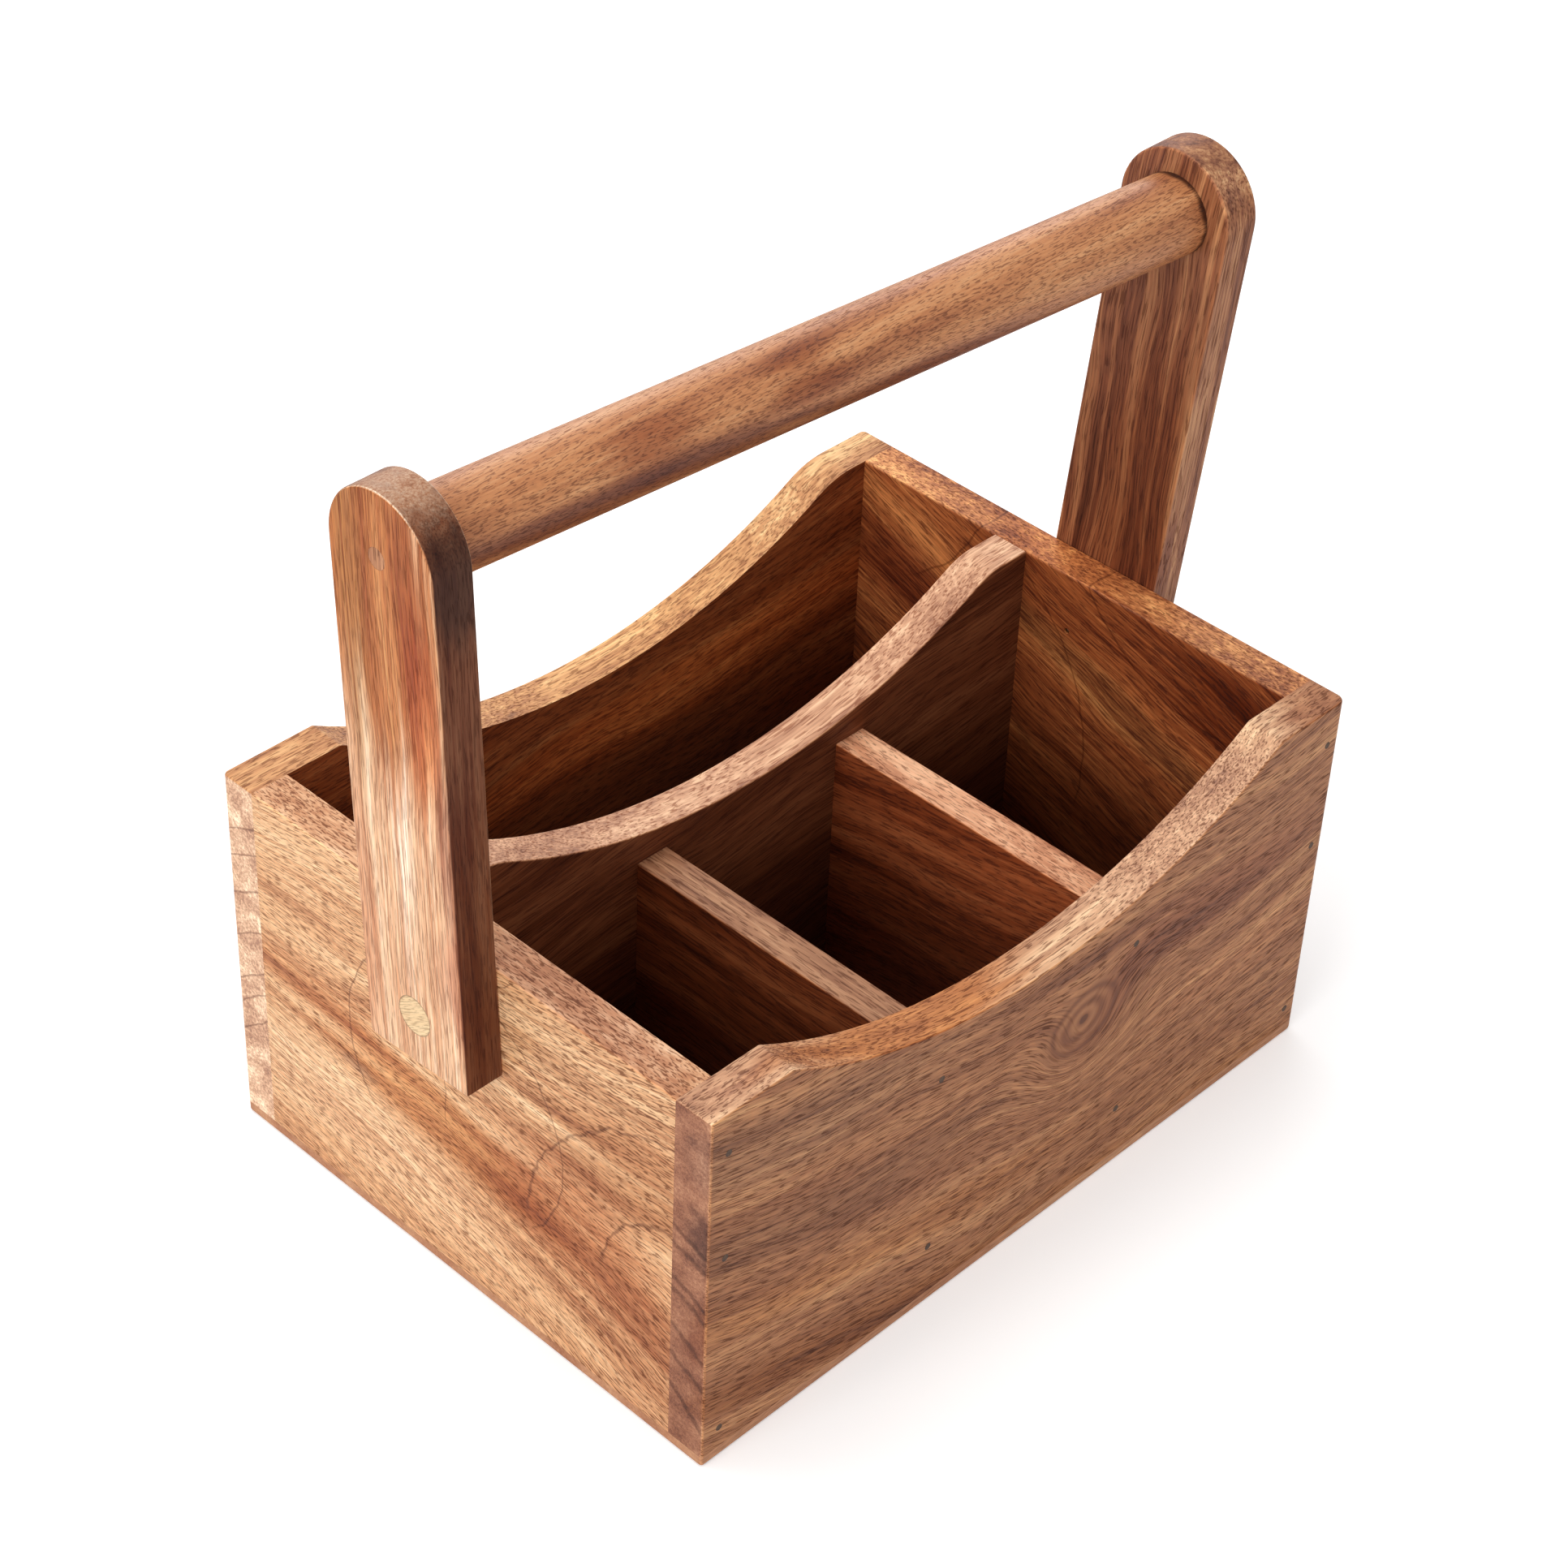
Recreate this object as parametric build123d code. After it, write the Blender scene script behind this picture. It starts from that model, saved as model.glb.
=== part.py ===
from build123d import *
import os
from math import cos, radians, sin

# Wooden caddy with four open compartments and a round grip held by two posts.
# Frame: X along the long walls, +Y to the back, +Z up, origin on the rest
# plane under the middle of the box. Millimetres.

# --- box ---
BOX_LENGTH = 254.0
BOX_WIDTH = 190.0
BOX_HEIGHT = 125.5
BASE_THICKNESS = 3.6
WALL_THICKNESS = 12.7

# --- scooped tops: a segment of a circle between two flat horns ---
HORN_LENGTH = 29.0
WALL_SCOOP_DEPTH = 27.0
BACK_SCOOP_SHIFT = 2.5
SHARP_CREASE_RADIUS = 2.0
SOFT_CREASE_RADIUS = 30.0
DIVIDER_SCOOP_DEPTH = 25.5
DIVIDER_CREST_RADIUS = 24.0

# --- dividers ---
CENTRE_DIVIDER_THICKNESS = 12.7
CENTRE_DIVIDER_OFFSET = 22.2
CROSS_DIVIDER_THICKNESS = 11.5
CROSS_DIVIDER_TOP = 95.0
FRONT_COMPARTMENT_COUNT = 3

# --- eased edges: arrises, and the four upright corners of the box ---
FRONT_LEFT_CORNER_RADIUS = 1.0
FRONT_RIGHT_CORNER_RADIUS = 3.2
BACK_LEFT_CORNER_RADIUS = 2.0
BACK_RIGHT_CORNER_RADIUS = 1.6
WALL_ARRIS = 0.7
DIVIDER_ARRIS = 0.6
POST_ARRIS = 0.8
BASE_ARRIS = 0.8

# --- handle: each post stands a little turned about its one foot screw ---
POST_WIDTH = 38.2
POST_THICKNESS = 12.8
FOOT_SCREW_BELOW_TOP = 19.5
FOOT_BELOW_SCREW = 16.2
LEFT_FOOT_OFFSET = 1.3
RIGHT_FOOT_OFFSET = -2.3
LEFT_POST_LEAN = 2.7
RIGHT_POST_LEAN = -4.8
LEFT_GRIP_RISE = 140.8
RIGHT_GRIP_RISE = 142.7
GRIP_DIAMETER = 24.1

# --- foot screws and their plugs ---
PLUG_DIAMETER = 12.2
PLUG_DEPTH = 4.5
SCREW_HEAD_DIAMETER = 8.0
SCREW_HEAD_HEIGHT = 2.6
SCREW_DIAMETER = 4.0
SCREW_POINT_DIAMETER = 1.0
SCREW_POINT_LENGTH = 4.0
SCREW_TIP_COVER = 0.8
SCREW_PIERCE_DIAMETER = 2.0
HOLE_CLEARANCE = 0.05

# --- grip pegs ---
PEG_DIAMETER = 6.0
PEG_DEPTH_IN_GRIP = 24.0
PEG_END_GAP = 0.5

# --- brads, and the filler over those in the walls and the centre divider ---
BRAD_DIAMETER = 1.4
BRAD_LENGTH = 28.0
BRAD_SINK = 1.5
FILLER_DIAMETER = 2.2
CORNER_BRAD_LOWEST = 11.0
CORNER_BRAD_MIDDLE_BELOW_TOP = 50.5
CORNER_BRAD_HIGHEST_BELOW_TOP = 13.5
CROSS_BRAD_LOWER = 22.0
CROSS_BRAD_UPPER_BELOW_TOP = 10.0
BASE_BRAD_LENGTH = 18.0
BASE_BRAD_INSET = 30.0
LONG_WALL_BASE_BRAD_COUNT = 4
END_WALL_BASE_BRAD_COUNT = 2
CENTRE_DIVIDER_BASE_BRAD_COUNT = 3

# --- planes and counts that follow from the sizes above ---
END_X = BOX_LENGTH / 2
FRONT_Y = -BOX_WIDTH / 2
BACK_Y = BOX_WIDTH / 2
INNER_END_X = END_X - WALL_THICKNESS
INNER_FRONT_Y = FRONT_Y + WALL_THICKNESS
INNER_BACK_Y = BACK_Y - WALL_THICKNESS
END_WALL_DEPTH = INNER_BACK_Y - INNER_FRONT_Y
WALL_HEIGHT = BOX_HEIGHT - BASE_THICKNESS
WALL_MID_Z = BASE_THICKNESS + WALL_HEIGHT / 2
SCOOP_HALF_SPAN = END_X - HORN_LENGTH
DIVIDER_FRONT_Y = CENTRE_DIVIDER_OFFSET - CENTRE_DIVIDER_THICKNESS / 2
DIVIDER_BACK_Y = CENTRE_DIVIDER_OFFSET + CENTRE_DIVIDER_THICKNESS / 2
CROSS_COUNT = FRONT_COMPARTMENT_COUNT - 1
CROSS_TOTAL_THICKNESS = CROSS_COUNT * CROSS_DIVIDER_THICKNESS
COMPARTMENT_LENGTH = (2 * INNER_END_X - CROSS_TOTAL_THICKNESS) / FRONT_COMPARTMENT_COUNT
CROSS_PITCH = COMPARTMENT_LENGTH + CROSS_DIVIDER_THICKNESS
CROSS_XS = [(i - (CROSS_COUNT - 1) / 2) * CROSS_PITCH for i in range(CROSS_COUNT)]
CORNER_BRAD_MIDDLE = BOX_HEIGHT - CORNER_BRAD_MIDDLE_BELOW_TOP
CORNER_BRAD_HIGHEST = BOX_HEIGHT - CORNER_BRAD_HIGHEST_BELOW_TOP
CORNER_BRAD_HEIGHTS = (CORNER_BRAD_LOWEST, CORNER_BRAD_MIDDLE, CORNER_BRAD_HIGHEST)
CROSS_BRAD_HEIGHTS = (CROSS_BRAD_LOWER, CROSS_DIVIDER_TOP - CROSS_BRAD_UPPER_BELOW_TOP)
FOOT_SCREW_HEIGHT = BOX_HEIGHT - FOOT_SCREW_BELOW_TOP
FRONT_CORNER_RADII = (FRONT_LEFT_CORNER_RADIUS, FRONT_RIGHT_CORNER_RADIUS)
BACK_CORNER_RADII = (BACK_LEFT_CORNER_RADIUS, BACK_RIGHT_CORNER_RADIUS)
POST_OUTER_X = END_X + POST_THICKNESS
SCREW_NECK_DEPTH = PLUG_DEPTH + SCREW_HEAD_HEIGHT
SCREW_TIP_DEPTH = POST_THICKNESS + WALL_THICKNESS - SCREW_TIP_COVER


class Fixing:
    """A straight fixing: where it enters a face, and the direction it is driven in."""

    def __init__(self, entry, direction):
        self.entry = Vector(*entry)
        self.direction = Vector(*direction)

    def rod(self, radius, start, end):
        """Round rod along the fixing, between two depths below the face."""
        plane = Plane(origin=self.entry + self.direction * start, z_dir=self.direction)
        return extrude(plane * Circle(radius), amount=end - start)


def spread(count, span):
    """Evenly spaced places along a span, its two ends included, centred on zero."""
    return [(i / (count - 1) - 0.5) * span for i in range(count)]


# --- where the brads go ---
def corner_fixings(outer_y, inward):
    """Through a long wall into the end walls, at the middle of their thickness."""
    xs = (-END_X + WALL_THICKNESS / 2, END_X - WALL_THICKNESS / 2)
    return [Fixing((x, outer_y, z), (0, inward, 0)) for x in xs for z in CORNER_BRAD_HEIGHTS]


def cross_fixings(outer_y, inward):
    """Through a board's face into the ends of the cross dividers."""
    return [Fixing((x, outer_y, z), (0, inward, 0)) for x in CROSS_XS for z in CROSS_BRAD_HEIGHTS]


def base_fixings():
    """Up through the base panel into the walls and the centre divider."""
    long_span = BOX_LENGTH - 2 * BASE_BRAD_INSET
    end_span = END_WALL_DEPTH - 2 * BASE_BRAD_INSET
    rows = []
    for y in (FRONT_Y + WALL_THICKNESS / 2, BACK_Y - WALL_THICKNESS / 2):
        rows += [(x, y) for x in spread(LONG_WALL_BASE_BRAD_COUNT, long_span)]
    for x in (-END_X + WALL_THICKNESS / 2, END_X - WALL_THICKNESS / 2):
        rows += [(x, y) for y in spread(END_WALL_BASE_BRAD_COUNT, end_span)]
    centre_xs = spread(CENTRE_DIVIDER_BASE_BRAD_COUNT, long_span)
    rows += [(x, CENTRE_DIVIDER_OFFSET) for x in centre_xs]
    return [Fixing((x, y, 0), (0, 0, 1)) for x, y in rows]


FRONT_CORNER_FIXINGS = corner_fixings(FRONT_Y, 1)
BACK_CORNER_FIXINGS = corner_fixings(BACK_Y, -1)
FRONT_CROSS_FIXINGS = cross_fixings(FRONT_Y, 1)
REAR_CROSS_FIXINGS = cross_fixings(DIVIDER_BACK_Y, -1)
BASE_FIXINGS = base_fixings()


def sunk_brads(fixings):
    """Brads driven below the face."""
    return [f.rod(BRAD_DIAMETER / 2, BRAD_SINK, BRAD_SINK + BRAD_LENGTH) for f in fixings]


def fillers(fixings):
    """Filler in the pockets over sunk brads, flush with the face."""
    return [f.rod(FILLER_DIAMETER / 2, 0, BRAD_SINK) for f in fixings]


def sunk_brad_holes(fixings):
    """Pocket and hole of each sunk brad."""
    holes = []
    for f in fixings:
        holes.append(f.rod(FILLER_DIAMETER / 2 + HOLE_CLEARANCE, 0, BRAD_SINK))
        holes.append(f.rod(BRAD_DIAMETER / 2 + HOLE_CLEARANCE, 0, BRAD_SINK + BRAD_LENGTH))
    return holes


def base_brads():
    """Brads whose heads are flush with the underside."""
    return [f.rod(BRAD_DIAMETER / 2, 0, BASE_BRAD_LENGTH) for f in BASE_FIXINGS]


def base_brad_holes():
    """Holes of the base panel's brads."""
    return [f.rod(BRAD_DIAMETER / 2 + HOLE_CLEARANCE, 0, BASE_BRAD_LENGTH) for f in BASE_FIXINGS]


# --- boards of the box ---
def top_corners(profile):
    """Corners of a side view at the height of its top, from left to right."""
    return profile.vertices().group_by(Axis.Y)[-1].sort_by(Axis.X)


def scooped_profile(length, scoop_depth, scoop_shift, left_crease_radius, right_crease_radius):
    """Side view of a board: a rectangle less a circle, its two creases rounded."""
    radius = (SCOOP_HALF_SPAN**2 + scoop_depth**2) / (2 * scoop_depth)
    circle_height = WALL_HEIGHT / 2 - scoop_depth + radius
    profile = Rectangle(length, WALL_HEIGHT) - Pos(scoop_shift, circle_height) * Circle(radius)
    profile = fillet(top_corners(profile)[1], left_crease_radius)
    return fillet(top_corners(profile)[-2], right_crease_radius)


def upright_board(profile, y_front, y_back):
    """Board whose side view stands in the XZ plane, between two planes across Y."""
    plane = Plane(origin=(0, y_front, WALL_MID_Z), x_dir=(1, 0, 0), z_dir=(0, -1, 0))
    return extrude(plane * profile, amount=y_front - y_back)


def round_corner(board, x, y, radius):
    """Board with its upright edge nearest to a place in plan rounded."""
    edge = board.edges().filter_by(Axis.Z).sort_by_distance((x, y, 0))[0]
    return fillet(edge, radius)


def outer_top_edges(board, inner_face):
    """Top edges of a long wall, along its two ends and its outer face."""
    edges = board.edges() - inner_face.edges() - board.edges().filter_by(Axis.Z)
    across = edges.filter_by(Axis.Y).filter_by(lambda e: abs(e.center().X) < INNER_END_X)
    return (edges - across).filter_by(lambda e: e.center().Z > WALL_MID_Z)


def long_wall(outer_y, inner_y, corner_radii, scoop_shift, right_crease_radius):
    """Front or back wall: runs past the end walls, its outer top edge eased all along."""
    profile = scooped_profile(
        BOX_LENGTH, WALL_SCOOP_DEPTH, scoop_shift, SHARP_CREASE_RADIUS, right_crease_radius
    )
    board = upright_board(profile, min(outer_y, inner_y), max(outer_y, inner_y))
    for x, radius in zip((-END_X, END_X), corner_radii):
        board = round_corner(board, x, outer_y, radius)
    inner_face = board.faces().filter_by(Axis.Y).sort_by_distance((0, inner_y, 0))[0]
    return fillet(outer_top_edges(board, inner_face), WALL_ARRIS)


def end_wall(side):
    """End wall between the long walls; side is -1 left, 1 right."""
    mid_x = side * (END_X + INNER_END_X) / 2
    wall = Pos(mid_x, 0, WALL_MID_Z) * Box(WALL_THICKNESS, END_WALL_DEPTH, WALL_HEIGHT)
    top_edges = wall.faces().sort_by(Axis.Z)[-1].edges().filter_by(Axis.Y)
    return fillet(top_edges, WALL_ARRIS)


def centre_divider():
    """Long divider with soft crests, from end wall to end wall."""
    profile = scooped_profile(
        2 * INNER_END_X, DIVIDER_SCOOP_DEPTH, 0, DIVIDER_CREST_RADIUS, DIVIDER_CREST_RADIUS
    )
    board = upright_board(profile, DIVIDER_FRONT_Y, DIVIDER_BACK_Y)
    long_faces = board.faces().filter_by(Axis.Y)
    ends = board.faces().filter_by(Axis.X).edges()
    bottom = board.faces().sort_by(Axis.Z)[0].edges()
    top_edges = long_faces.edges() - ends - bottom
    return fillet(top_edges, DIVIDER_ARRIS)


def cross_divider(mid_x):
    """Straight low divider between the centre divider and the front wall."""
    depth = DIVIDER_FRONT_Y - INNER_FRONT_Y
    height = CROSS_DIVIDER_TOP - BASE_THICKNESS
    middle = Pos(mid_x, (DIVIDER_FRONT_Y + INNER_FRONT_Y) / 2, BASE_THICKNESS + height / 2)
    board = middle * Box(CROSS_DIVIDER_THICKNESS, depth, height)
    top_edges = board.faces().sort_by(Axis.Z)[-1].edges().filter_by(Axis.Y)
    return fillet(top_edges, DIVIDER_ARRIS)


def base_panel():
    """Thin panel under all walls, flush with them, its lower edges eased."""
    panel = Pos(0, 0, BASE_THICKNESS / 2) * Box(BOX_LENGTH, BOX_WIDTH, BASE_THICKNESS)
    for y, radii in ((FRONT_Y, FRONT_CORNER_RADII), (BACK_Y, BACK_CORNER_RADII)):
        for x, radius in zip((-END_X, END_X), radii):
            panel = round_corner(panel, x, y, radius)
    return fillet(panel.faces().sort_by(Axis.Z)[0].edges(), BASE_ARRIS)


# --- handle ---
class HandleEnd:
    """One end of the handle: side is -1 left, 1 right; the lean is in degrees to the back."""

    def __init__(self, side, foot_offset, lean, grip_rise):
        self.side = side
        self.foot_offset = foot_offset
        self.lean = lean
        self.grip_rise = grip_rise
        self.foot = Fixing((side * POST_OUTER_X, foot_offset, FOOT_SCREW_HEIGHT), (-side, 0, 0))

    def grip_centre(self):
        """Centre of the grip's end at the post's inner face."""
        y = self.foot_offset + self.grip_rise * sin(radians(self.lean))
        z = FOOT_SCREW_HEIGHT + self.grip_rise * cos(radians(self.lean))
        return Vector(self.side * END_X, y, z)

    def peg_span(self, end_gap):
        """Where the grip peg lies along X, with room past its inner end."""
        outer = self.side * POST_OUTER_X
        inner = self.side * (END_X - PEG_DEPTH_IN_GRIP - end_gap)
        return min(outer, inner), max(outer, inner)


LEFT = HandleEnd(-1, LEFT_FOOT_OFFSET, LEFT_POST_LEAN, LEFT_GRIP_RISE)
RIGHT = HandleEnd(1, RIGHT_FOOT_OFFSET, RIGHT_POST_LEAN, RIGHT_GRIP_RISE)


def grip_rod(radius, x_from, x_to):
    """Round rod on the grip's axis, cut off by two planes across X."""
    axis = (RIGHT.grip_centre() - LEFT.grip_centre()).normalized()
    mid = (LEFT.grip_centre() + RIGHT.grip_centre()) / 2
    plane = Plane(origin=mid - axis * BOX_LENGTH, z_dir=axis)
    rod = extrude(plane * Circle(radius), amount=2 * BOX_LENGTH)
    slab = Pos((x_from + x_to) / 2, mid.Y, mid.Z) * Box(x_to - x_from, BOX_WIDTH, BOX_WIDTH)
    return rod & slab


def grip_dowel():
    """Round grip between the posts' inner faces."""
    return grip_rod(GRIP_DIAMETER / 2, -END_X, END_X)


def grip_peg(end):
    """Peg through a post into the grip, flush with the post's outer face."""
    return grip_rod(PEG_DIAMETER / 2, *end.peg_span(0))


def grip_peg_hole(end):
    """Hole of a grip peg, a little deeper than the peg."""
    return grip_rod(PEG_DIAMETER / 2 + HOLE_CLEARANCE, *end.peg_span(PEG_END_GAP))


def foot_plug(end):
    """Face-grain plug over the foot screw."""
    return end.foot.rod(PLUG_DIAMETER / 2, 0, PLUG_DEPTH)


def cone_on(fixing, radius_from, radius_to, start, end):
    """Tapered round body along a fixing, between two depths below the face."""
    origin = fixing.entry + fixing.direction * ((start + end) / 2)
    plane = Plane(origin=origin, z_dir=fixing.direction)
    return plane * Cone(radius_from, radius_to, end - start)


def foot_screw(end):
    """Countersunk wood screw with a tapered point, under the plug."""
    shank_radius = SCREW_DIAMETER / 2
    point_radius = SCREW_POINT_DIAMETER / 2
    point_start = SCREW_TIP_DEPTH - SCREW_POINT_LENGTH
    head = cone_on(end.foot, SCREW_HEAD_DIAMETER / 2, shank_radius, PLUG_DEPTH, SCREW_NECK_DEPTH)
    shank = end.foot.rod(shank_radius, SCREW_NECK_DEPTH, point_start)
    point = cone_on(end.foot, shank_radius, point_radius, point_start, SCREW_TIP_DEPTH)
    return head + shank + point


def foot_holes(end):
    """Plug pocket, countersink, shank hole, and the small hole in front of the tip."""
    shank_radius = SCREW_DIAMETER / 2 + HOLE_CLEARANCE
    sink_radius = SCREW_HEAD_DIAMETER / 2 + HOLE_CLEARANCE
    through_depth = POST_THICKNESS + WALL_THICKNESS
    return [
        end.foot.rod(PLUG_DIAMETER / 2 + HOLE_CLEARANCE, 0, PLUG_DEPTH),
        cone_on(end.foot, sink_radius, shank_radius, PLUG_DEPTH, SCREW_NECK_DEPTH),
        end.foot.rod(shank_radius, SCREW_NECK_DEPTH, SCREW_TIP_DEPTH),
        end.foot.rod(SCREW_PIERCE_DIAMETER / 2, SCREW_NECK_DEPTH, through_depth),
    ]


def post(end):
    """Post with a square foot and a round top, turned by its lean about the foot screw."""
    straight = end.grip_rise + FOOT_BELOW_SCREW
    outline = Pos(0, straight / 2 - FOOT_BELOW_SCREW) * Rectangle(POST_WIDTH, straight)
    outline += Pos(0, end.grip_rise) * Circle(POST_WIDTH / 2)
    inner = Plane(origin=(end.side * END_X, 0, 0), x_dir=(0, end.side, 0), z_dir=(end.side, 0, 0))
    board = extrude(inner * outline, amount=POST_THICKNESS)
    board = fillet(board.faces().filter_by(Axis.X).edges(), POST_ARRIS)
    return Pos(0, end.foot_offset, FOOT_SCREW_HEIGHT) * Rot(-end.lean, 0, 0) * board


# --- cutting the fixings' holes and writing the pieces ---
def cut(board, holes):
    """Board less every hole that reaches it."""
    for hole in holes:
        board = board - hole
    return board


def build_pieces():
    """Every piece of the caddy by its name."""
    front_holes = sunk_brad_holes(FRONT_CORNER_FIXINGS)
    back_holes = sunk_brad_holes(BACK_CORNER_FIXINGS)
    front_cross_holes = sunk_brad_holes(FRONT_CROSS_FIXINGS)
    rear_cross_holes = sunk_brad_holes(REAR_CROSS_FIXINGS)
    base_holes = base_brad_holes()
    end_wall_holes = front_holes + back_holes + base_holes
    peg_holes = [grip_peg_hole(end) for end in (LEFT, RIGHT)]
    front_wall = long_wall(FRONT_Y, INNER_FRONT_Y, FRONT_CORNER_RADII, 0, SHARP_CREASE_RADIUS)
    back_wall = long_wall(
        BACK_Y, INNER_BACK_Y, BACK_CORNER_RADII, BACK_SCOOP_SHIFT, SOFT_CREASE_RADIUS
    )
    pieces = {
        "base_panel": cut(base_panel(), base_holes),
        "front_wall": cut(front_wall, front_holes + front_cross_holes + base_holes),
        "back_wall": cut(back_wall, back_holes + base_holes),
        "centre_divider": cut(centre_divider(), rear_cross_holes + base_holes),
        "grip_dowel": cut(grip_dowel(), peg_holes),
        "front_corner_brads": sunk_brads(FRONT_CORNER_FIXINGS),
        "back_corner_brads": sunk_brads(BACK_CORNER_FIXINGS),
        "front_cross_brads": sunk_brads(FRONT_CROSS_FIXINGS),
        "rear_cross_brads": sunk_brads(REAR_CROSS_FIXINGS),
        "base_brads": base_brads(),
        "front_wall_fillers": fillers(FRONT_CORNER_FIXINGS + FRONT_CROSS_FIXINGS),
        "back_wall_fillers": fillers(BACK_CORNER_FIXINGS),
        "centre_divider_fillers": fillers(REAR_CROSS_FIXINGS),
    }
    for name, mid_x in zip(("left", "right"), CROSS_XS):
        holes = front_cross_holes + rear_cross_holes
        pieces[f"{name}_cross_divider"] = cut(cross_divider(mid_x), holes)
    for name, end in (("left", LEFT), ("right", RIGHT)):
        pieces[f"{name}_end_wall"] = cut(end_wall(end.side), end_wall_holes + foot_holes(end))
        pieces[f"{name}_post"] = cut(post(end), foot_holes(end) + peg_holes)
        pieces[f"{name}_foot_screw"] = foot_screw(end)
        pieces[f"{name}_foot_plug"] = foot_plug(end)
        pieces[f"{name}_grip_peg"] = grip_peg(end)
    return pieces


def as_shape(piece):
    """One shape to write: a single solid, or a group of separate solids."""
    if isinstance(piece, list):
        return Compound(children=piece)
    return piece


os.makedirs("parts", exist_ok=True)
for node, piece in build_pieces().items():
    export_step(as_shape(piece), f"parts/{node}.step")
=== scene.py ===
import math

import bpy
from mathutils import Euler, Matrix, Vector


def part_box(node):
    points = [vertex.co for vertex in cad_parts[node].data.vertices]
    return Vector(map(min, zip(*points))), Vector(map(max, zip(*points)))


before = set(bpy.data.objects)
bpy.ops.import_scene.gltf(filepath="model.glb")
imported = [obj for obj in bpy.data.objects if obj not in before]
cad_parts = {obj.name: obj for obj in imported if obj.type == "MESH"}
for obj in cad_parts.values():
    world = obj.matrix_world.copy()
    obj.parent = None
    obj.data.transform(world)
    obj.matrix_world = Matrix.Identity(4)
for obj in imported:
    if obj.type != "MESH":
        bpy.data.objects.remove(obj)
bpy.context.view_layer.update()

# Looks of the wooden caddy: a wood for every board, soft studio light and a camera.
# Lengths are metres, except in the shaders, which work in millimetres of the row frame.

MM = 1000.0  # millimetres in a metre

# --- camera: the viewpoint of the photograph ---
CAMERA_TARGET = Vector((0.0025, 0.0064, 0.1029))
CAMERA_DISTANCE = 1.0208
CAMERA_AZIMUTH = -47.14
CAMERA_ELEVATION = 38.43
CAMERA_ROLL = 2.61
CAMERA_LENS = 82.63
SENSOR_WIDTH = 36.0

# --- light ---
WHITE = (1.0, 1.0, 1.0, 1.0)
WORLD_STRENGTH = 0.62
FLOOR_SIZE = 6.0
FLOOR_SHADE = 0.92
FLOOR_LIFT = 0.3  # glow seen by the camera alone
FLOOR_DROP = 0.0003  # keeps the floor clear of the base's underside
FLOOR_MOTTLE = 0.01  # swing of the shade
FLOOR_PATCHES = 3.0  # to a metre
FLOOR_ROUGHNESS = 0.9
SOFTBOXES = (  # name, azimuth, elevation, distance, size, watts
    ("key", -80, 32, 1.5, (0.9, 0.9), 8.5),
    ("top", -150, 70, 1.3, (0.9, 0.9), 6.2),
    ("back", 142, 24, 1.5, (1.3, 0.6), 5.0),
)


# --- colours ---
def linear(value):
    """One sRGB channel, 0 to 255, as linear light."""
    v = value / 255.0
    return v / 12.92 if v <= 0.04045 else ((v + 0.055) / 1.055) ** 2.4


def rgb(red, green, blue):
    """An sRGB colour as a linear colour with full alpha."""
    return (linear(red), linear(green), linear(blue), 1.0)


MOTTLE_RANGE = (0.3, 0.7)  # what a mottle's noise spans from its first shade to its second


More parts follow.
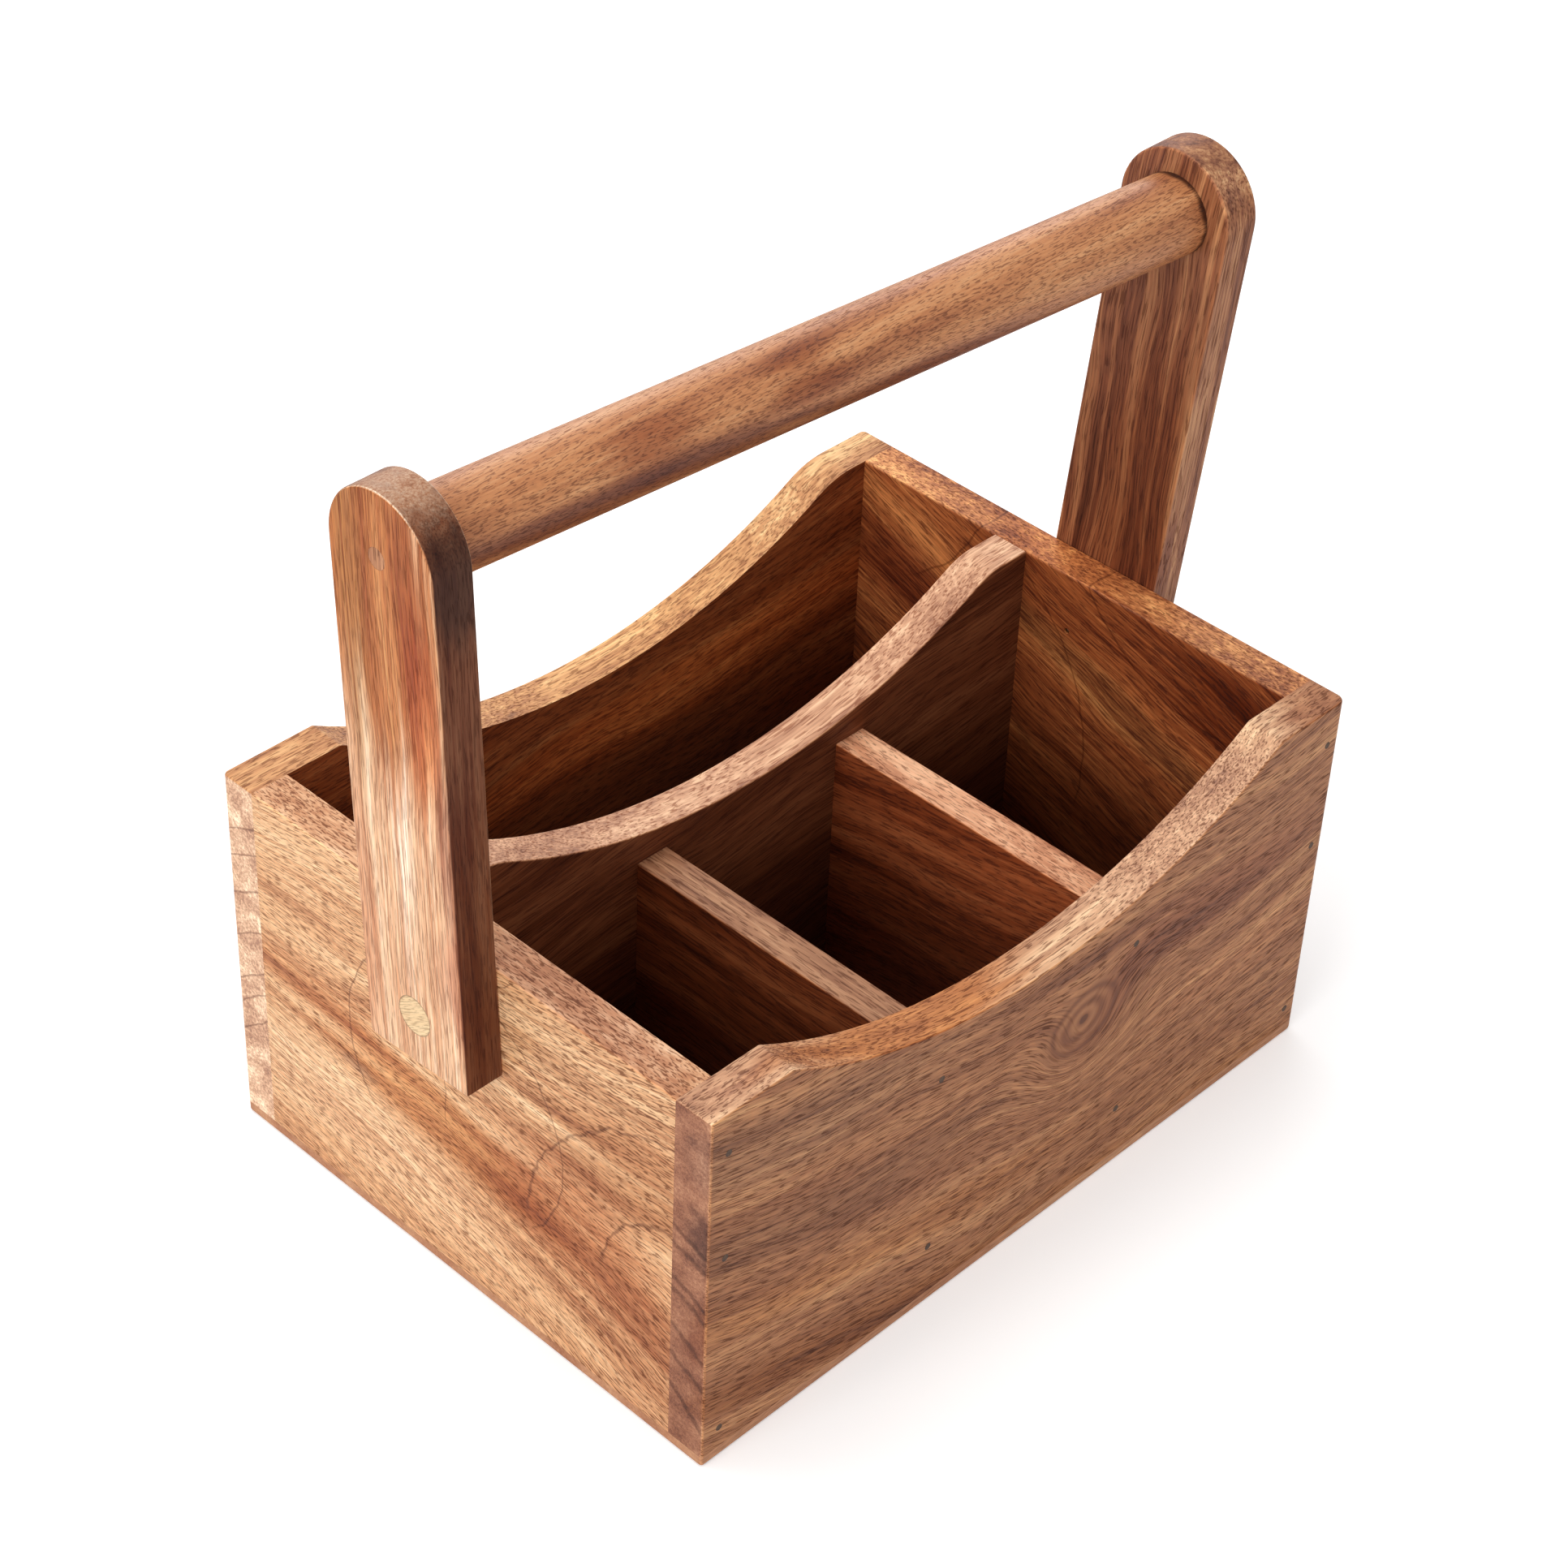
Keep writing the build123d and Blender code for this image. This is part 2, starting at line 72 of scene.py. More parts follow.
# --- building shader nodes ---
class Graph:
    """Adds shader nodes to a tree, and links or sets their inputs."""

    def __init__(self, owner):
        owner.use_nodes = True
        self.tree = owner.node_tree
        self.tree.nodes.clear()

    def add(self, kind, inputs=None, **settings):
        node = self.tree.nodes.new(kind)
        for name, value in settings.items():
            setattr(node, name, value)
        for key, value in (inputs or {}).items():
            self.put(node.inputs[key], value)
        return node

    def place(self):
        """The place in metres of the object's own frame, for a CAD node the row frame."""
        return self.add("ShaderNodeTexCoord").outputs["Object"]

    def camera_ray(self):
        """1 for what the camera sees, 0 for what lights or mirrors."""
        return self.add("ShaderNodeLightPath").outputs["Is Camera Ray"]

    def put(self, socket, value):
        if isinstance(value, bpy.types.NodeSocket):
            self.tree.links.new(value, socket)
        else:
            socket.default_value = value

    def math(self, operation, a, b=0.0, c=0.0):
        return self.add("ShaderNodeMath", {0: a, 1: b, 2: c}, operation=operation).outputs[0]

    def plus(self, *values):
        total = values[0]
        for value in values[1:]:
            total = self.math("ADD", total, value)
        return total

    def times(self, a, b):
        return self.math("MULTIPLY", a, b)

    def centred(self, value, amount):
        """A 0 to 1 value as a swing of plus or minus half the amount."""
        return self.math("MULTIPLY_ADD", value, amount, -0.5 * amount)

    def vector(self, operation, a, b=(0.0, 0.0, 0.0)):
        node = self.add("ShaderNodeVectorMath", {0: a, 1: b}, operation=operation)
        return node.outputs["Value" if operation in ("DOT_PRODUCT", "LENGTH") else "Vector"]

    def scaled(self, vector, factor):
        node = self.add("ShaderNodeVectorMath", {0: vector, "Scale": factor}, operation="SCALE")
        return node.outputs["Vector"]

    def split(self, vector):
        return self.add("ShaderNodeSeparateXYZ", {0: vector}).outputs

    def join(self, x, y, z):
        return self.add("ShaderNodeCombineXYZ", {0: x, 1: y, 2: z}).outputs[0]

    def noise(self, vector, detail=0.0, roughness=0.5):
        inputs = {"Vector": vector, "Scale": 1.0, "Detail": detail, "Roughness": roughness}
        return self.add("ShaderNodeTexNoise", inputs).outputs["Fac"]

    def smooth(self, value, low, high, to_low=0.0, to_high=1.0):
        inputs = {0: value, 1: low, 2: high, 3: to_low, 4: to_high}
        return self.add("ShaderNodeMapRange", inputs, interpolation_type="SMOOTHSTEP").outputs[0]

    def ramp(self, value, stops):
        node = self.add("ShaderNodeValToRGB", {0: value})
        elements = node.color_ramp.elements
        while len(elements) < len(stops):
            elements.new(0.5)
        for element, (position, colour) in zip(elements, stops):
            element.position = position
            element.color = colour
        return node.outputs[0]

    def blend_value(self, factor, a, b):
        return self.add("ShaderNodeMix", {0: factor, 2: a, 3: b}, data_type="FLOAT").outputs[0]

    def tint(self, factor, colour, tint):
        """Colour multiplied by a tint of three parts where the factor is 1."""
        inputs = {0: factor, 6: colour, 7: (*tint, 1.0)}
        node = self.add("ShaderNodeMix", inputs, data_type="RGBA", blend_type="MULTIPLY")
        return node.outputs[2]

    def relief(self, height, depth):
        inputs = {"Strength": BUMP_STRENGTH, "Distance": depth, "Height": height}
        return self.add("ShaderNodeBump", inputs).outputs[0]

    def finish(self, shader):
        self.add("ShaderNodeOutputMaterial", {0: shader.outputs[0]})


# --- wood ---
ALONG = {"x": (0, 2, 1), "y": (1, 2, 0), "z": (2, 1, 0)}  # axes along, across and through
PLAIN = (1.0, 1.0, 1.0)
PALE_TINT = (1.45, 1.42, 1.36)
# painted shade: the inside of the box darker towards the bottom
DEEP_SHADE_TINT = (0.26, 0.19, 0.18)
RAMP_PLACES = (0.0, 0.3, 0.58, 0.95)  # tones of the dark, brown, mid and light colours
SLOW_WAVES = (0.014, 0.024, 0.02)  # waves per millimetre along, across and through the board
INSIDE_SLACK = 0.3  # millimetres by which the inside's limits are let out
RING_FADE = 12.0  # millimetres over which a ring appears above its lowest height
RING_STRENGTH = 0.75
SPOT_UNEVENNESS = 1.6
PORE_SHIFT = 11.0  # sets the pores' noise apart from the bands' and the streaks'
PORE_SOFTNESS = 0.04
KNOT_WAVES = 16.0  # radians of ring from the knot's heart to its rim
END_PALE_LOSS, EDGE_PALE_LOSS, END_PORE_LOSS = 0.8, 0.6, 0.5  # what dashes lose on these faces
BUMP_STRENGTH = 0.3
WOOD_RELIEF, PLAIN_RELIEF = 0.00012, 0.0001  # metres

# Where masks fade, each from the first value of what it reads to the second.
TOP_FADE = (0.35, 0.6)  # upward part of the normal
END_FADE = (0.7, 0.95)  # part of the normal along the grain
EDGE_FADE = (0.35, 0.8)  # part of the normal through the board
ARRIS_FADE = (0.15, 0.45)  # slant of the normal
DEEP_SHADE_FADE = (26.0, 94.0)  # height in the box: the painted shade is darkest below the first
SPOT_FADE = (0.4, 1.2)  # distance from the centre, in the spot's own size
HEART_FADE = (0.05, 0.16)  # distance from the knot, as are the next two
EYE_FADE = (0.85, 1.3)
CALM_FADE = (0.8, 1.4)
PALE_FADE = (0.46, 0.38)  # level of the pores' noise


class Wood:
    """What sets one board's wood apart. Lengths are millimetres, slopes are rise over run."""

    def __init__(self, grain, seed, dark, brown, mid, light, **changes):
        self.along, self.across, self.through = ALONG[grain]
        self.seed = seed
        self.ramp = tuple(zip(RAMP_PLACES, (dark, brown, mid, light)))
        self.slope = 0.0  # rise of the grain across the board
        self.bow, self.bow_centre = 0.0, 0.0  # curve of the grain, and where it is level
        self.fan, self.fan_level = 0.0, 0.0  # spread of the grain away from a level
        self.wave = 3.0  # height of the slow waves
        self.dip = None  # place, reach and depth of the dip round a knot
        self.knot = None  # place, half length, half width and tilt
        self.band_width, self.band_length, self.band_swing = 9.0, 160.0, 1.7
        self.streak_width, self.streak_length, self.streak_swing = 1.1, 42.0, 0.9
        self.pore_width, self.pore_length = 0.5, 5.0
        self.pore_level, self.pore_depth = 0.56, 0.75
        self.pore_tint = (0.42, 0.33, 0.30)
        self.glint = 0.5  # strength of the pale dashes between the pores
        self.spots = ()  # face, centre in grain places, size, tint; some are painted sheen and shade
        self.rings = ()  # face, centre, radius, lowest height, width, unevenness
        self.ring_tint = (0.42, 0.33, 0.30)
        # edge tone: the edge faces' own colour, with a painted sheen where it lightens the tops
        # of walls and dividers
        self.edge_tint, self.end_tint = PLAIN, (0.8, 0.74, 0.7)
        # painted shade on the upright faces inside the box
        self.inside_shade_tint = (0.72, 0.48, 0.36)
        # painted highlight along the arrises, with some wear
        self.arris_highlight_and_wear = (1.2, 1.2, 1.17)
        self.roughness, self.specular = 0.46, 0.22
        self.__dict__.update(changes)


class Grain:
    """Places along, across and through the grain of a board, and a knot's rings."""

    def __init__(self, g, wood, position):
        self.g, self.wood = g, wood
        parts = g.split(position)
        self.u, v, self.w = parts[wood.along], parts[wood.across], parts[wood.through]
        self.v = self.flow(v)
        self.place = g.join(self.u, self.v, self.w)
        self.reach = self.knot_reach(v) if wood.knot else None

    def flow(self, v):
        """Height across the grain: level lines of it follow slope, bow, fan, dip and waves."""
        g, wood, u = self.g, self.wood, self.u
        flow = g.math("MULTIPLY_ADD", u, -wood.slope, v)
        if wood.bow:
            away = g.math("SUBTRACT", u, wood.bow_centre)
            flow = g.math("MULTIPLY_ADD", g.times(away, away), -wood.bow, flow)
        if wood.fan:
            below = g.math("MULTIPLY_ADD", v, wood.fan, -wood.fan * wood.fan_level)
            flow = g.math("MULTIPLY_ADD", u, below, flow)
        if wood.dip:
            at, height, length, width, depth = wood.dip
            du = g.math("DIVIDE", g.math("SUBTRACT", u, at), length)
            dv = g.math("DIVIDE", g.math("SUBTRACT", v, height), width)
            flow = g.math("MULTIPLY_ADD", bell(g, du, dv), depth, flow)
        along, across, through = SLOW_WAVES
        seeded = g.math("MULTIPLY_ADD", self.w, through, wood.seed)
        slow = g.join(g.times(u, along), g.times(v, across), seeded)
        return g.math("ADD", flow, g.centred(g.noise(slow, 1.0), 4.0 * wood.wave))

    def knot_reach(self, v):
        """Distance from the knot, 1 at its rim."""
        g = self.g
        at, height, length, width, tilt = self.wood.knot
        du = g.math("SUBTRACT", self.u, at)
        dv = g.math("MULTIPLY_ADD", du, -tilt, g.math("SUBTRACT", v, height))
        along, across = g.math("DIVIDE", du, length), g.math("DIVIDE", dv, width)
        return g.math("SQRT", g.math("ADD", g.times(along, along), g.times(across, across)))

    def noise(self, length, width, shift, detail, roughness):
        """Noise whose cells have this length along the grain and this width."""
        g = self.g
        x = g.math("MULTIPLY_ADD", self.u, 1.0 / length, self.wood.seed + shift)
        y = g.math("MULTIPLY_ADD", self.v, 1.0 / width, shift)
        return g.noise(g.join(x, y, g.times(self.w, 1.0 / width)), detail, roughness)


def bell(g, x, y):
    """1 at the middle, falling to 0 round it."""
    square = g.math("ADD", g.times(x, x), g.times(y, y))
    return g.math("POWER", math.e, g.times(square, -1.0))


def facing(g, normal, axis):
    """How squarely a surface faces along an axis, either way."""
    direction_along = tuple(float(i == axis) for i in range(3))
    return g.math("ABSOLUTE", g.vector("DOT_PRODUCT", normal, direction_along))


def inside_shade_mask(g, position, up):
    """Where the painted shade inside the box falls: 1 on the upright faces inside the box, 0 on
    what faces out or up; and the height.
    """
    end_inner = -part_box("centre_divider")[0][0] * MM
    front_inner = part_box("front_wall")[1][1] * MM
    back_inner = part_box("back_wall")[0][1] * MM
    bottom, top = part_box("base_panel")[1][2] * MM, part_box("front_wall")[1][2] * MM
    x, y, z = g.split(position)
    mask = g.math("LESS_THAN", g.math("ABSOLUTE", x), end_inner + INSIDE_SLACK)
    mask = g.times(mask, g.math("GREATER_THAN", y, front_inner - INSIDE_SLACK))
    mask = g.times(mask, g.math("LESS_THAN", y, back_inner + INSIDE_SLACK))
    mask = g.times(mask, g.math("GREATER_THAN", z, bottom - INSIDE_SLACK))
    mask = g.times(mask, g.math("LESS_THAN", z, top + INSIDE_SLACK))
    return g.times(mask, g.math("SUBTRACT", 1.0, up)), z


def spot_mask(g, grain_place, bands, centre, size):
    """1 near a place, fading to 0 over an uneven outline."""
    gap = g.vector("DIVIDE", g.vector("SUBTRACT", grain_place, centre), size)
    reach = g.math("ADD", g.vector("LENGTH", gap), g.centred(bands, SPOT_UNEVENNESS))
    return g.smooth(reach, *SPOT_FADE, 1.0, 0.0)


def knot_tone(g, tone, bands, reach):
    """Tone with a knot's rings and dark heart in place of the straight grain."""
    wave = g.math("SINE", g.math("MULTIPLY_ADD", bands, 6.0, g.times(reach, KNOT_WAVES)))
    whorl = g.math("MULTIPLY_ADD", wave, 0.2, g.math("MULTIPLY_ADD", reach, -0.1, 0.42))
    heart = g.smooth(reach, *HEART_FADE, -0.7, 0.0)
    eye = g.smooth(reach, *EYE_FADE, 0.9, 0.0)
    return g.blend_value(eye, tone, g.plus(whorl, heart))


def pore_masks(g, wood, grain, bands, end, edge):
    """Dark dashes along the grain, dots on end grain, and the pale dashes between."""
    fine = grain.noise(wood.pore_length, wood.pore_width, PORE_SHIFT, 1.0, 0.4)
    level = g.plus(fine, g.centred(bands, -0.1))
    pore = g.smooth(level, wood.pore_level, wood.pore_level + PORE_SOFTNESS)
    pale = g.smooth(level, *PALE_FADE, 0.0, wood.glint)
    if grain.reach is not None:
        calm = g.smooth(grain.reach, *CALM_FADE, 0.3, 1.0)
        pore, pale = g.times(pore, calm), g.times(pale, calm)
    pale = g.times(pale, g.math("MULTIPLY_ADD", end, -END_PALE_LOSS, 1.0))
    pale = g.times(pale, g.math("MULTIPLY_ADD", edge, -EDGE_PALE_LOSS, 1.0))
    return fine, g.times(pore, g.math("MULTIPLY_ADD", end, -END_PORE_LOSS, 1.0)), pale


def with_rings(g, wood, position, faces, colour):
    """Colour with growth lines: thin uneven arcs."""
    if wood.rings:
        uneven = g.centred(g.noise(g.scaled(position, 0.09), 2.5, 0.55), 1.0)
    for face, centre, radius, lowest, width, swing in wood.rings:
        gap = g.vector("LENGTH", g.vector("SUBTRACT", position, centre))
        off = g.math("ABSOLUTE", g.plus(g.times(uneven, swing), gap, -radius))
        line = g.smooth(off, 0.15 * width, width, RING_STRENGTH, 0.0)
        above = g.smooth(g.split(position)[2], lowest, lowest + RING_FADE)
        line = g.times(g.times(line, faces[face]), above)
        colour = g.tint(line, colour, wood.ring_tint)
    return colour


def wood_material(name, wood):
    """Oiled open-pored hardwood, solid through the board, with painted shade inside the box,
    painted sheen on tops and painted highlights on arrises.
    """
    material = bpy.data.materials.new(name)
    g = Graph(material)
    position = g.scaled(g.place(), MM)
    normal = g.add("ShaderNodeNewGeometry").outputs["Normal"]
    up = g.smooth(g.split(normal)[2], *TOP_FADE)
    end = g.smooth(facing(g, normal, wood.along), *END_FADE)
    through = facing(g, normal, wood.through)
    edge = g.smooth(through, *EDGE_FADE, 1.0, 0.0)
    side = g.math("SUBTRACT", 1.0, up)
    faces = {"top": up, "side": side, "end": end, "edge": edge, "all": 1.0}
    grain = Grain(g, wood, position)

    # broad bands, narrow streaks and places of another tone, with some painted sheen and shade
    # among them
    bands = grain.noise(wood.band_length, wood.band_width, 0.0, 2.0, 0.55)
    streaks = grain.noise(wood.streak_length, wood.streak_width, 0.0, 1.0, 0.6)
    tone = g.plus(g.centred(bands, wood.band_swing), g.centred(streaks, wood.streak_swing), 0.5)
    if wood.knot:
        tone = knot_tone(g, tone, bands, grain.reach)
    colour = g.ramp(tone, wood.ramp)
    for face, centre, size, tint in wood.spots:
        mask = g.times(spot_mask(g, grain.place, bands, centre, size), faces[face])
        colour = g.tint(mask, colour, tint)

    # faces of another tone: edges of the board, with a painted sheen on the tops of walls and
    # dividers; end grain; painted shade on the inside of the box, darker towards the bottom;
    # painted highlight, with some wear, on the arrises
    # edge tone, with a painted sheen on the tops of walls and dividers
    colour = g.tint(edge, colour, wood.edge_tint)
    colour = g.tint(end, colour, wood.end_tint)
    inside, height = inside_shade_mask(g, position, up)
    # painted shade on the upright faces inside the box
    colour = g.tint(inside, colour, wood.inside_shade_tint)
    # painted shade, darker towards the bottom of the box
    deep_shade = g.times(inside, g.smooth(height, *DEEP_SHADE_FADE, 1.0, 0.0))
    colour = g.tint(deep_shade, colour, DEEP_SHADE_TINT)
    # painted highlight, with some wear, on the arrises
    slant = g.times(through, g.math("SQRT", g.math("SUBTRACT", 1.0, g.times(through, through))))
    colour = g.tint(g.smooth(slant, *ARRIS_FADE), colour, wood.arris_highlight_and_wear)

    # pores and growth lines
    fine, pore, pale = pore_masks(g, wood, grain, bands, end, edge)
    colour = g.tint(pale, colour, PALE_TINT)
    colour = g.tint(g.times(pore, wood.pore_depth), colour, wood.pore_tint)
    colour = with_rings(g, wood, position, faces, colour)

    rough = g.plus(g.centred(streaks, 0.12), g.times(pore, 0.2), wood.roughness)
    bump_height = g.math("MULTIPLY_ADD", pore, -1.0, g.times(fine, 0.5))
    bump = g.relief(bump_height, WOOD_RELIEF)
    g.finish(g.add("ShaderNodeBsdfPrincipled", {
        "Base Color": colour, "Roughness": rough, "Normal": bump,
        "Specular IOR Level": wood.specular,
    }))
    return material


# --- the woods by piece; both foot plugs share one, and so do both grip pegs ---
# Ramp colours are sRGB and tints multiply them in linear light. A spot is set in grain places,
# along, across and through the board in millimetres, and a ring in places of the row frame.
PLUG_LOW, PLUG_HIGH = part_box("left_foot_plug")
PLUG_CENTRE = (PLUG_LOW[0] * MM, *(0.5 * MM * (PLUG_LOW[i] + PLUG_HIGH[i]) for i in (1, 2)))
PLUG_RADIUS = 0.5 * MM * (PLUG_HIGH[1] - PLUG_LOW[1])

WOODS = {
    "front_wall": Wood(
        "x", 1.0, rgb(108, 64, 44), rgb(146, 92, 60), rgb(172, 116, 78), rgb(204, 150, 104),
        bow=0.0007, bow_centre=50.0, dip=(20.0, 60.0, 21.0, 18.0, 21.0),
        knot=(19.6, 69.5, 14.0, 11.0, 0.1), pore_length=5.5, pore_width=0.42, pore_depth=0.9,
        band_swing=1.2, edge_tint=(1.66, 2.2, 2.9), end_tint=(0.54, 0.4, 0.37),
        spots=(
            ("top", (-116.0, 128.0, -89.0), (16.0, 20.0, 20.0), (1.15, 1.1, 1.1)),
            ("side", (-110.0, 88.0, -95.0), (80.0, 14.0, 9.0), (0.96, 1.04, 1.12)),
            ("side", (-90.0, 55.0, -95.0), (90.0, 9.0, 9.0), (0.76, 0.74, 0.76)),
            ("side", (-60.0, 27.0, -95.0), (95.0, 10.0, 9.0), (1.14, 1.12, 0.98)),
            ("side", (20.0, 1.0, -95.0), (190.0, 9.0, 9.0), (0.86, 0.74, 0.56)),
            ("side", (75.0, 82.0, -95.0), (55.0, 12.0, 9.0), (0.84, 0.74, 0.74)),
            ("side", (95.0, 50.0, -95.0), (45.0, 12.0, 9.0), (1.08, 1.06, 1.04)),
            ("top", (-46.0, 100.0, -89.0), (52.0, 30.0, 20.0), (0.92, 0.64, 0.37)),
            ("top", (60.0, 105.0, -89.0), (55.0, 30.0, 20.0), (1.1, 1.14, 1.2)),
            ("top", (118.0, 125.0, -89.0), (22.0, 30.0, 20.0), (0.58, 0.42, 0.34)),
            ("end", (-127.0, 62.0, -93.0), (20.0, 12.0, 6.0), (0.42, 0.36, 0.38)),
            ("end", (-127.0, 22.0, -93.0), (20.0, 13.0, 7.0), (0.66, 0.52, 0.46)),
        ),
        rings=tuple(
            ("end", (-127.0, -50.0, -30.0), radius, 0.0, 1.5, 5.0)
            for radius in (62.0, 74.0, 83.0, 95.0, 99.0, 112.0, 117.0)
        ),
    ),
    "back_wall": Wood(
        "x", 7.0, rgb(104, 58, 36), rgb(142, 84, 50), rgb(172, 112, 70), rgb(206, 154, 104),
        slope=0.08, pore_length=4.0, band_swing=1.3, edge_tint=(1.6, 2.0, 2.25),
        end_tint=(1.25, 1.6, 2.4),
        spots=(
            ("side", (40.0, 78.0, 82.0), (110.0, 14.0, 9.0), (1.95, 2.0, 1.7)),
            ("top", (20.0, 103.0, 89.0), (60.0, 30.0, 20.0), (1.15, 1.2, 1.15)),
        ),
        rings=tuple(
            ("end", (-127.0, 8.0, -57.0), radius, 0.0, 0.5, 2.5)
            for radius in (124.0, 132.0, 139.0, 152.0, 165.0, 177.0, 185.0)
        ),
    ),
    "left_end_wall": Wood(
        "y", 13.0, rgb(158, 100, 66), rgb(196, 138, 94), rgb(224, 174, 128), rgb(244, 208, 166),
        fan=0.0035, fan_level=80.0, pore_width=0.46, pore_length=3.4, pore_level=0.555,
        band_swing=1.1, pore_depth=0.85, pore_tint=(0.36, 0.25, 0.2),
        edge_tint=(1.0, 0.98, 1.05),
        spots=(
            ("side", (60.0, 66.0, -127.0), (44.0, 8.0, 9.0), (0.84, 0.68, 0.56)),
            ("side", (10.0, 54.0, -127.0), (56.0, 15.0, 9.0), (0.8, 0.6, 0.42)),
            ("side", (-46.0, 60.0, -127.0), (44.0, 22.0, 9.0), (0.72, 0.52, 0.42)),
            ("side", (-66.0, 84.0, -127.0), (40.0, 18.0, 9.0), (0.72, 0.6, 0.52)),
            ("side", (-80.0, 32.0, -127.0), (30.0, 24.0, 9.0), (0.86, 0.78, 0.74)),
            ("side", (52.0, 24.0, -127.0), (80.0, 20.0, 9.0), (1.16, 1.3, 1.46)),
            ("side", (42.0, 48.0, -127.0), (9.0, 3.0, 9.0), (0.8, 0.86, 1.0)),
            ("side", (-34.0, 108.0, -127.0), (60.0, 11.0, 9.0), (1.08, 1.2, 1.3)),
            ("top", (-40.0, 125.0, -121.0), (40.0, 30.0, 20.0), (0.9, 0.88, 0.94)),
        ),
        rings=(
            ("side", (-127.0, -95.0, 40.0), 68.5, 42.0, 0.7, 7.0),
            ("side", (-127.0, -95.0, 40.0), 41.0, 44.0, 0.8, 7.0),
            ("side", (-127.0, 2.0, 70.0), 43.0, 36.0, 0.5, 4.0),
            ("side", (-127.0, -60.0, 70.0), 66.0, 50.0, 0.4, 6.0),
        ),
    ),
    "right_end_wall": Wood(
        "y", 19.0, rgb(72, 34, 20), rgb(116, 62, 36), rgb(160, 100, 60), rgb(206, 150, 96),
        slope=0.35, band_width=14.0, band_swing=1.2, pore_length=4.5, pore_depth=0.8,
        edge_tint=(1.85, 2.0, 2.0), inside_shade_tint=(1.1, 0.82, 0.66),
        spots=(
            ("top", (2.0, 125.0, 121.0), (34.0, 40.0, 20.0), (0.86, 0.72, 0.6)),
            ("side", (60.0, 78.0, 114.0), (22.0, 20.0, 9.0), (0.7, 0.6, 0.62)),
            ("top", (-66.0, 148.0, 121.0), (24.0, 40.0, 20.0), (1.1, 1.2, 1.25)),
            ("side", (-14.0, 98.0, 114.0), (60.0, 9.0, 9.0), (1.15, 1.5, 1.6)),
            ("side", (-72.0, 126.0, 114.0), (30.0, 16.0, 9.0), (0.6, 0.48, 0.42)),
        ),
        rings=(
            ("all", (121.0, -60.0, 160.0), 62.0, 90.0, 0.6, 3.0),
            ("all", (121.0, 95.0, 150.0), 66.0, 90.0, 0.6, 3.0),
            ("side", (121.0, 60.0, 60.0), 74.0, 40.0, 0.5, 3.0),
        ),
    ),
    "centre_divider": Wood(
        "x", 29.0, rgb(96, 56, 38), rgb(138, 88, 58), rgb(168, 116, 80), rgb(202, 154, 110),
        slope=0.1, pore_length=8.0, band_swing=1.1, edge_tint=(1.85, 2.25, 2.9),
        pore_tint=(0.5, 0.34, 0.28), glint=0.3,
        inside_shade_tint=(0.5, 0.34, 0.28),
    ),
    "left_cross_divider": Wood(
        "y", 37.0, rgb(98, 56, 36), rgb(138, 86, 56), rgb(166, 112, 76), rgb(198, 146, 104),
        edge_tint=(1.22, 1.42, 1.66), pore_length=6.0, inside_shade_tint=(0.55, 0.34, 0.24),
    ),
    "right_cross_divider": Wood(
        "y", 43.0, rgb(112, 60, 38), rgb(156, 94, 60), rgb(188, 124, 84), rgb(214, 156, 112),
        slope=-0.15, pore_length=4.5, edge_tint=(1.38, 1.6, 1.95),
        inside_shade_tint=(0.68, 0.42, 0.3),
    ),
    "left_post": Wood(
        "z", 53.0, rgb(150, 90, 58), rgb(198, 138, 98), rgb(228, 182, 144), rgb(246, 216, 186),
        slope=0.047, wave=1.5, band_width=5.0, band_swing=0.8, pore_length=7.0, pore_width=0.36,
        pore_depth=0.6, streak_length=70.0, streak_width=0.8,
        edge_tint=(0.28, 0.17, 0.13), arris_highlight_and_wear=PLAIN, end_tint=(0.95, 0.9, 0.86),
        spots=(
            ("side", (240.0, -2.0, -140.0), (66.0, 34.0, 9.0), (0.6, 0.34, 0.16)),
            ("side", (206.0, -15.0, -140.0), (38.0, 7.0, 9.0), (0.9, 0.56, 0.34)),
            ("side", (240.0, -14.0, -140.0), (40.0, 8.0, 9.0), (0.78, 0.64, 0.56)),
            ("side", (190.0, -4.0, -140.0), (70.0, 4.5, 9.0), (1.3, 1.65, 2.1)),
            ("side", (168.0, -24.0, -140.0), (34.0, 7.0, 9.0), (0.62, 0.48, 0.46)),
            ("side", (126.0, -22.0, -140.0), (24.0, 8.0, 9.0), (0.72, 0.54, 0.5)),
            ("side", (130.0, 13.0, -140.0), (50.0, 5.0, 9.0), (0.84, 0.7, 0.64)),
            ("side", (230.0, 9.0, -140.0), (70.0, 5.0, 9.0), (0.84, 0.9, 0.85)),
            ("edge", (108.0, -24.0, -133.0), (36.0, 30.0, 9.0), (0.66, 0.52, 0.42)),
            ("edge", (246.0, -26.0, -133.0), (20.0, 16.0, 20.0), (0.4, 0.38, 0.4)),
            # painted sheen on the top arc of the post
            ("edge", (271.0, -4.0, -133.0), (12.0, 24.0, 20.0), (2.5, 4.3, 6.2)),
        ),
    ),
    "right_post": Wood(
        "z", 61.0, rgb(88, 46, 30), rgb(124, 70, 46), rgb(156, 98, 64), rgb(196, 140, 96),
        slope=-0.084, band_width=6.0, band_length=260.0, pore_length=10.0, streak_length=80.0,
        edge_tint=(1.2, 1.3, 1.4),
        spots=(
            # painted sheen on the top arc of the post
            ("edge", (268.0, -14.0, 133.0), (12.0, 24.0, 20.0), (1.3, 1.6, 1.8)),
            ("side", (150.0, 0.0, 127.0), (70.0, 18.0, 9.0), (0.76, 0.62, 0.54)),
        ),
    ),
    "grip_dowel": Wood(
        "x", 71.0, rgb(120, 62, 36), rgb(160, 96, 59), rgb(192, 128, 82), rgb(222, 168, 120),
